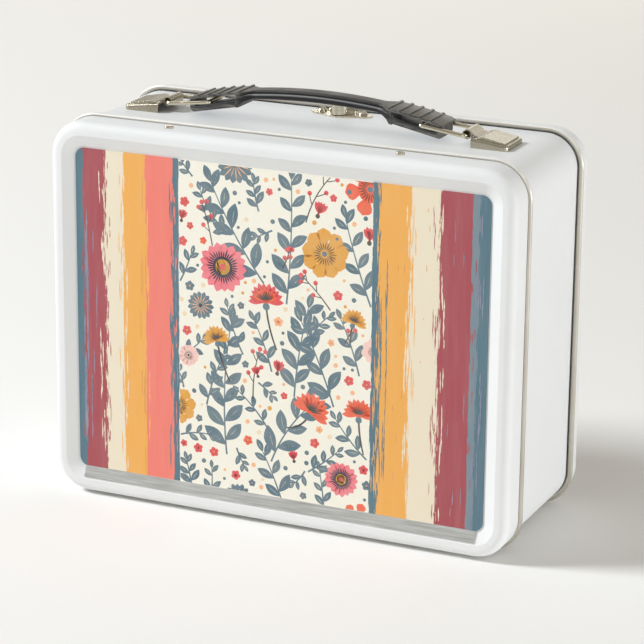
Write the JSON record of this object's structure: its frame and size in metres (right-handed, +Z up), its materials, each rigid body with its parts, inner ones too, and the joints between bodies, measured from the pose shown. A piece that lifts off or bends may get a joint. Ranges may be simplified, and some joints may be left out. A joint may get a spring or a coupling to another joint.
{
  "type": "metal lunch box",
  "caption": "Rectangular tin lunch box with rounded corners, rolled rims, a sunk picture plate, a hinged rear lid, a top latch and an arched carrying grip that lifts on wire loops.",
  "frame": {"origin": "middle of the footprint, on the plane the box stands on", "axes": "+X to the right when the picture side is faced, +Y from the picture side towards the lid, +Z up"},
  "size_m": [0.2248, 0.093, 0.1896],
  "materials": {
    "white_paint": "satin white stoving enamel on tinplate",
    "bare_tin": "bare rolled tinplate, dull",
    "printed_aluminium": "lithographed stripes and flowers under satin lacquer",
    "nickel": "nickel plate, slightly warm and dull",
    "black_plastic": "moulded black plastic, fine grain"
  },
  "bodies": {
    "box": {"front_cover": "white_paint", "picture_panel": "printed_aluminium", "front_bead": "bare_tin", "cover_studs": "bare_tin", "body_band": "white_paint", "latch_plate": "nickel", "latch_rivets": "nickel", "bracket_left": "nickel", "bracket_right": "nickel", "hinge_body_leaf_left": "nickel", "hinge_body_leaf_right": "nickel", "hinge_body_rivets": "nickel", "hinge_pin_left": "nickel", "hinge_pin_right": "nickel"},
    "lid": {"rear_lid": "white_paint", "lid_bead": "bare_tin", "hinge_lid_leaf_left": "nickel", "hinge_lid_leaf_right": "nickel", "hinge_lid_rivets": "nickel", "hasp_leaf": "nickel", "hasp_rivets": "nickel", "hasp_pin": "nickel"},
    "hasp": {"hasp_arm": "nickel"},
    "grip": {"handle_grip": "black_plastic"},
    "loop_left": {"wire_loop_left": "nickel"},
    "loop_right": {"wire_loop_right": "nickel"}
  },
  "joints": [
    {"name": "lid_hinge", "type": "hinge", "parent": "box", "child": "lid", "pos_m": [0, 0.0345, 0.00133], "axis": [-1, 0, 0], "range_deg": [0, 80]},
    {"name": "hasp_hinge", "type": "hinge", "parent": "lid", "child": "hasp", "pos_m": [0, 0.0394, 0.17738], "axis": [-1, 0, 0], "range_deg": [0, 110]},
    {"name": "grip_lift", "type": "slide", "parent": "box", "child": "grip", "axis": [0, 0, 1], "range_m": [0, 0.0144]},
    {"name": "loop_left_turn", "type": "hinge", "parent": "box", "child": "loop_left", "pos_m": [-0.0722, 0, 0.17853], "axis": [0, -1, 0], "range_deg": [0, 39.5]},
    {"name": "loop_right_turn", "type": "hinge", "parent": "box", "child": "loop_right", "pos_m": [0.0722, 0, 0.17853], "axis": [0, 1, 0], "range_deg": [0, 39.5]}
  ],
  "couplings": [
    {"joint": "loop_left_turn", "follows": "grip_lift", "rad_per_m": 47.62},
    {"joint": "loop_right_turn", "follows": "grip_lift", "rad_per_m": 47.62}
  ]
}
